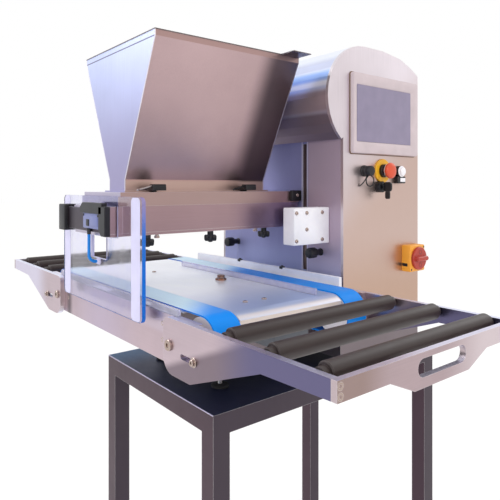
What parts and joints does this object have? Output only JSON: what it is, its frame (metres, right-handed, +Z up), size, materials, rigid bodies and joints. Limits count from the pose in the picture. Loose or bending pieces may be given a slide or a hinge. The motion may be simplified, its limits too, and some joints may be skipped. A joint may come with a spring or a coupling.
{
  "type": "pastry depositor",
  "caption": "Bakery depositor with a tapered hopper on a lifting head over a belt and roller tray conveyor, a control column with a screen, and a tube stand.",
  "frame": {"origin": "on the floor under the middle of the object's box", "axes": "+X along the conveyor to the outfeed, +Y across it to the column, +Z up"},
  "size_m": [1.328, 0.9109, 1.501],
  "materials": {
    "steel": "brushed stainless sheet and plate",
    "bright": "smooth stainless sheet",
    "dark_roller": "dark plastic roller tube",
    "belt_blue": "blue conveyor belt",
    "black_plastic": "black moulded plastic",
    "white_plastic": "white polyethylene",
    "clear_plastic": "clear plastic sheet",
    "motor_grey": "grey painted housing",
    "sensor_brown": "dull brass sensor",
    "cable_blue": "blue cable sheath",
    "screen_grey": "screen housing",
    "screen_dark": "screen glass",
    "yellow": "yellow plastic",
    "red": "red plastic",
    "rubber_pad": "rubber foot"
  },
  "bodies": {
    "frame": {"stand_frame": "steel", "stand_feet": "rubber_pad", "machine_feet": "steel", "base_frame": "steel", "plate_near": "steel", "plate_far": "steel", "slide_plate": "bright", "belts": "belt_blue", "belt_motor": "motor_grey", "tray_guide": "white_plastic", "clear_strip": "clear_plastic", "tray_sensor": "sensor_brown", "arm_pivots": "steel", "column_shell": "steel", "front_panel": "steel", "control_plate": "steel", "rear_plate": "steel", "guide_frame": "bright", "lift_actuator": "motor_grey", "column_knobs": "black_plastic", "screen_unit": "screen_grey", "screen_glass": "screen_dark", "control_bases": "black_plastic", "estop_ring": "yellow", "switch_box": "yellow"},
    "drive_drum": {"drive_drum": "steel"},
    "idler_drum": {"idler_drum": "steel"},
    "infeed": {"infeed_arm_near": "steel", "infeed_arm_far": "steel", "infeed_end_plate": "steel"},
    "outfeed": {"outfeed_arm_near": "steel", "outfeed_arm_far": "steel", "outfeed_end_plate": "steel"},
    "head": {"carriage": "steel", "slide_block": "white_plastic", "block_screws": "steel", "head_body": "steel", "head_cap": "steel", "clamp_block": "black_plastic", "nozzle_plate": "bright", "nozzle_knobs": "black_plastic", "hopper": "bright", "end_guard": "clear_plastic", "guard_bracket": "black_plastic", "cable": "cable_blue"},
    "infeed_roller_1": {"infeed_roller_1": "dark_roller"},
    "infeed_roller_2": {"infeed_roller_2": "dark_roller"},
    "infeed_roller_3": {"infeed_roller_3": "dark_roller"},
    "outfeed_roller_1": {"outfeed_roller_1": "dark_roller"},
    "outfeed_roller_2": {"outfeed_roller_2": "dark_roller"},
    "outfeed_roller_3": {"outfeed_roller_3": "dark_roller"},
    "feed_roller_a": {"feed_roller_a": "steel"},
    "feed_roller_b": {"feed_roller_b": "steel"},
    "hopper_lid": {"hopper_lid": "bright"},
    "hopper_clamp_1": {"hopper_clamp_1": "black_plastic"},
    "hopper_clamp_2": {"hopper_clamp_2": "black_plastic"},
    "estop_button": {"estop_button": "red"},
    "start_button": {"start_button": "white_plastic"},
    "key": {"key": "black_plastic"},
    "switch_knob": {"switch_knob": "red"}
  },
  "joints": [
    {"name": "drive_spin", "type": "hinge", "parent": "frame", "child": "drive_drum", "pos_m": [0.328, -0.1915, 0.893], "axis": [0, 1, 0], "continuous": true},
    {"name": "idler_spin", "type": "hinge", "parent": "frame", "child": "idler_drum", "pos_m": [-0.328, -0.1915, 0.893], "axis": [0, 1, 0], "continuous": true},
    {"name": "outfeed_fold", "type": "hinge", "parent": "frame", "child": "outfeed", "pos_m": [0.279, -0.1915, 0.883], "axis": [0, 1, 0], "range_deg": [0, 90]},
    {"name": "infeed_fold", "type": "hinge", "parent": "frame", "child": "infeed", "pos_m": [-0.279, -0.1915, 0.883], "axis": [0, -1, 0], "range_deg": [0, 90]},
    {"name": "infeed_roller_1_spin", "type": "hinge", "parent": "infeed", "child": "infeed_roller_1", "pos_m": [-0.422, -0.1915, 0.923], "axis": [0, 1, 0], "continuous": true},
    {"name": "infeed_roller_2_spin", "type": "hinge", "parent": "infeed", "child": "infeed_roller_2", "pos_m": [-0.522, -0.1915, 0.923], "axis": [0, 1, 0], "continuous": true},
    {"name": "infeed_roller_3_spin", "type": "hinge", "parent": "infeed", "child": "infeed_roller_3", "pos_m": [-0.622, -0.1915, 0.923], "axis": [0, 1, 0], "continuous": true},
    {"name": "outfeed_roller_1_spin", "type": "hinge", "parent": "outfeed", "child": "outfeed_roller_1", "pos_m": [0.422, -0.1915, 0.923], "axis": [0, 1, 0], "continuous": true},
    {"name": "outfeed_roller_2_spin", "type": "hinge", "parent": "outfeed", "child": "outfeed_roller_2", "pos_m": [0.522, -0.1915, 0.923], "axis": [0, 1, 0], "continuous": true},
    {"name": "outfeed_roller_3_spin", "type": "hinge", "parent": "outfeed", "child": "outfeed_roller_3", "pos_m": [0.622, -0.1915, 0.923], "axis": [0, 1, 0], "continuous": true},
    {"name": "head_lift", "type": "slide", "parent": "frame", "child": "head", "axis": [0, 0, 1], "range_m": [0, 0.08]},
    {"name": "feed_a_spin", "type": "hinge", "parent": "head", "child": "feed_roller_a", "pos_m": [-0.0275, -0.1915, 1.093], "axis": [0, 1, 0], "continuous": true},
    {"name": "feed_b_spin", "type": "hinge", "parent": "head", "child": "feed_roller_b", "pos_m": [0.0275, -0.1915, 1.093], "axis": [0, 1, 0], "continuous": true},
    {"name": "lid_lift", "type": "slide", "parent": "head", "child": "hopper_lid", "axis": [0, 0, 1], "range_m": [0, 0.15]},
    {"name": "clamp_1_turn", "type": "hinge", "parent": "head", "child": "hopper_clamp_1", "pos_m": [0.066, -0.3235, 1.145], "axis": [0, 0, 1], "range_deg": [0, 90]},
    {"name": "clamp_2_turn", "type": "hinge", "parent": "head", "child": "hopper_clamp_2", "pos_m": [0.066, -0.0735, 1.145], "axis": [0, 0, 1], "range_deg": [0, 90]},
    {"name": "estop_push", "type": "slide", "parent": "frame", "child": "estop_button", "axis": [-1, 0, 0], "range_m": [0, 0.006], "stiffness_N_per_m": 600},
    {"name": "start_push", "type": "slide", "parent": "frame", "child": "start_button", "axis": [-1, 0, 0], "range_m": [0, 0.004], "stiffness_N_per_m": 300},
    {"name": "key_turn", "type": "hinge", "parent": "frame", "child": "key", "pos_m": [0.24, 0.2095, 1.156], "axis": [1, 0, 0], "range_deg": [0, 90]},
    {"name": "switch_turn", "type": "hinge", "parent": "frame", "child": "switch_knob", "pos_m": [0.24, 0.343, 0.9675], "axis": [1, 0, 0], "range_deg": [0, 90]}
  ],
  "couplings": [
    {"joint": "idler_spin", "follows": "drive_spin", "ratio": 1},
    {"joint": "feed_b_spin", "follows": "feed_a_spin", "ratio": -1}
  ]
}
